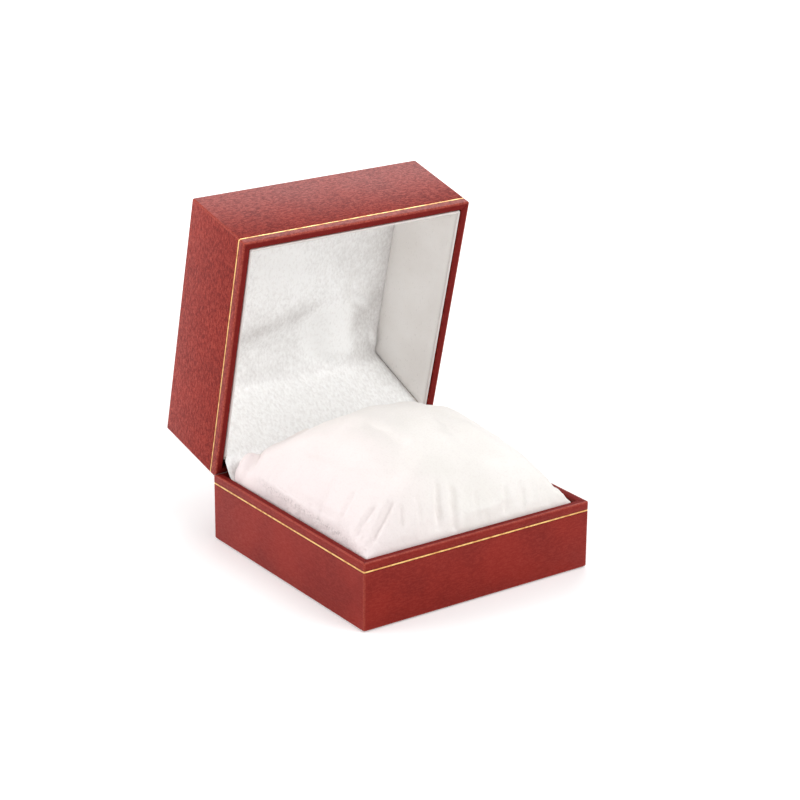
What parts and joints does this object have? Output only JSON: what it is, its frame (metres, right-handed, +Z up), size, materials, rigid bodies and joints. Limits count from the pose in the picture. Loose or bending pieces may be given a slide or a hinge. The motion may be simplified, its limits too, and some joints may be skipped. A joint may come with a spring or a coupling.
{
  "type": "hinged presentation box with pillow",
  "caption": "Square leatherette presentation box with a spring-hinged lid, a satin lining and a domed plush pillow, stored open.",
  "frame": {"origin": "centre of the base's underside, on the surface the box stands on", "axes": "+Z up, -Y to the front, the hinge along X at the back (+Y)"},
  "size_m": [0.092, 0.1237, 0.1202],
  "materials": {
    "leatherette": "satin",
    "gilt_line": "satin",
    "moulding": "matte",
    "felt": "matte",
    "card": "matte",
    "plush": "matte",
    "satin": "satin",
    "foam": "matte",
    "hinge_brass": "satin",
    "spring_steel": "satin"
  },
  "bodies": {
    "base": {"base_shell": "moulding", "base_wrap": "leatherette", "base_gilt_line": "gilt_line", "base_bottom_panel": "felt", "base_liner": "card", "base_floor_card": "card", "base_hinge_cover": "card", "pillow_cover": "plush", "pillow_filling": "foam", "hinge_leaf_base": "hinge_brass", "hinge_pin": "spring_steel", "hinge_rivet_base_left": "hinge_brass", "hinge_rivet_base_right": "hinge_brass", "hinge_spring": "spring_steel"},
    "lid": {"lid_shell": "moulding", "lid_wrap": "leatherette", "lid_gilt_line": "gilt_line", "lid_lining_front": "satin", "lid_lining_right": "satin", "lid_lining_ramp": "satin", "lid_lining_left": "satin", "lid_pad_board": "card", "lid_pad_foam": "foam", "lid_pad_satin": "satin", "hinge_leaf_lid": "hinge_brass", "hinge_rivet_lid_left": "hinge_brass", "hinge_rivet_lid_right": "hinge_brass"}
  },
  "joints": [
    {"name": "lid_hinge", "type": "hinge", "parent": "base", "child": "lid", "pos_m": [0, 0.0448, 0.02415], "axis": [1, 0, 0], "range_deg": [0, 76.4], "deforming": ["hinge_spring"]}
  ]
}
